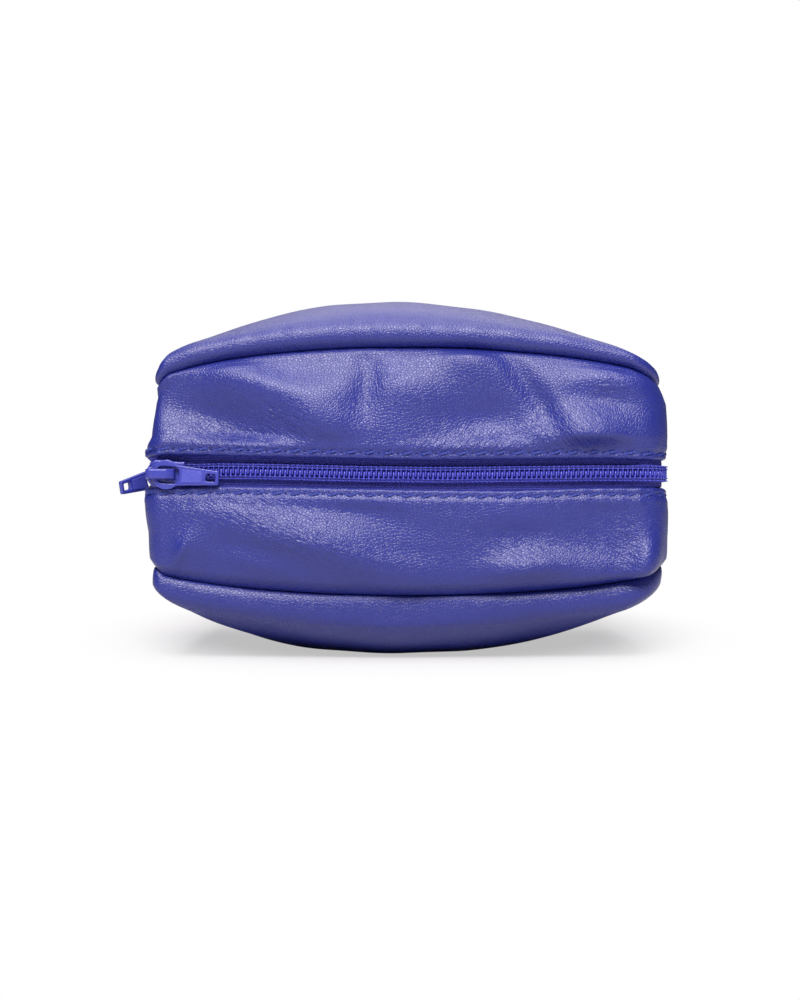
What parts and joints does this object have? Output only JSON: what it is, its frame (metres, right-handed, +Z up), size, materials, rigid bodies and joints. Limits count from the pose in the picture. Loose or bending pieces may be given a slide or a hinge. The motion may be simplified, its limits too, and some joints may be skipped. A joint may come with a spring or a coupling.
{
  "type": "coin and key pouch",
  "caption": "Soft leather coin and key pouch: stuffed box of two domed panels and a gusset, opened by a coil zip round three sides.",
  "frame": {"origin": "middle of the flat patch that the pouch rests on, under the lower face panel", "axes": "+X along the front to the viewer's right, +Y from the zip side to the back, +Z up through the thickness"},
  "size_m": [0.1358, 0.0872, 0.091],
  "materials": {
    "leather": "soft grained, satin",
    "lining": "woven, matt",
    "zip_tape": "woven, matt",
    "coil": "nylon, satin",
    "slider": "enamelled, satin",
    "ring": "nickel plated"
  },
  "bodies": {
    "base": {"lower_face_panel": "leather", "lower_zip_gusset": "leather", "lower_back_gusset": "leather", "lower_lining": "lining", "lower_zip_tape": "zip_tape", "lower_coil": "coil", "lower_left_stop": "slider", "lower_right_stop": "slider", "key_tab": "leather"},
    "lid": {"upper_face_panel": "leather", "upper_zip_gusset": "leather", "upper_back_gusset": "leather", "upper_lining": "lining", "upper_zip_tape": "zip_tape", "upper_coil": "coil", "upper_left_stop": "slider", "upper_right_stop": "slider"},
    "front_slider": {"front_slider_body": "slider"},
    "front_pull": {"front_slider_pull": "slider"},
    "end_slider": {"end_slider_body": "slider"},
    "end_pull": {"end_slider_pull": "slider"},
    "ring": {"key_ring": "ring"}
  },
  "joints": [
    {"name": "lid_hinge", "type": "hinge", "parent": "base", "child": "lid", "pos_m": [0, 0.0426, 0.0452], "axis": [-1, 0, 0], "range_deg": [0, 90], "deforming": ["upper_coil"]},
    {"name": "front_slider_slide", "type": "slide", "parent": "base", "child": "front_slider", "axis": [1, 0, 0], "range_m": [0, 0.106], "deforming": ["lower_coil"]},
    {"name": "front_pull_hinge", "type": "hinge", "parent": "front_slider", "child": "front_pull", "pos_m": [-0.0601, -0.04274, 0.0452], "axis": [0, 0, -1], "range_deg": [0, 150]},
    {"name": "end_slider_slide", "type": "slide", "parent": "base", "child": "end_slider", "axis": [0, 1, 0], "range_m": [-0.022, 0.0335]},
    {"name": "end_pull_hinge", "type": "hinge", "parent": "end_slider", "child": "end_pull", "pos_m": [-0.06404, -0.012, 0.0452], "axis": [0, 0, 1], "range_deg": [-143, 2]},
    {"name": "key_ring_hinge", "type": "hinge", "parent": "base", "child": "ring", "pos_m": [0, 0.0325, 0.036], "axis": [-1, 0, 0], "range_deg": [0, 80]}
  ]
}
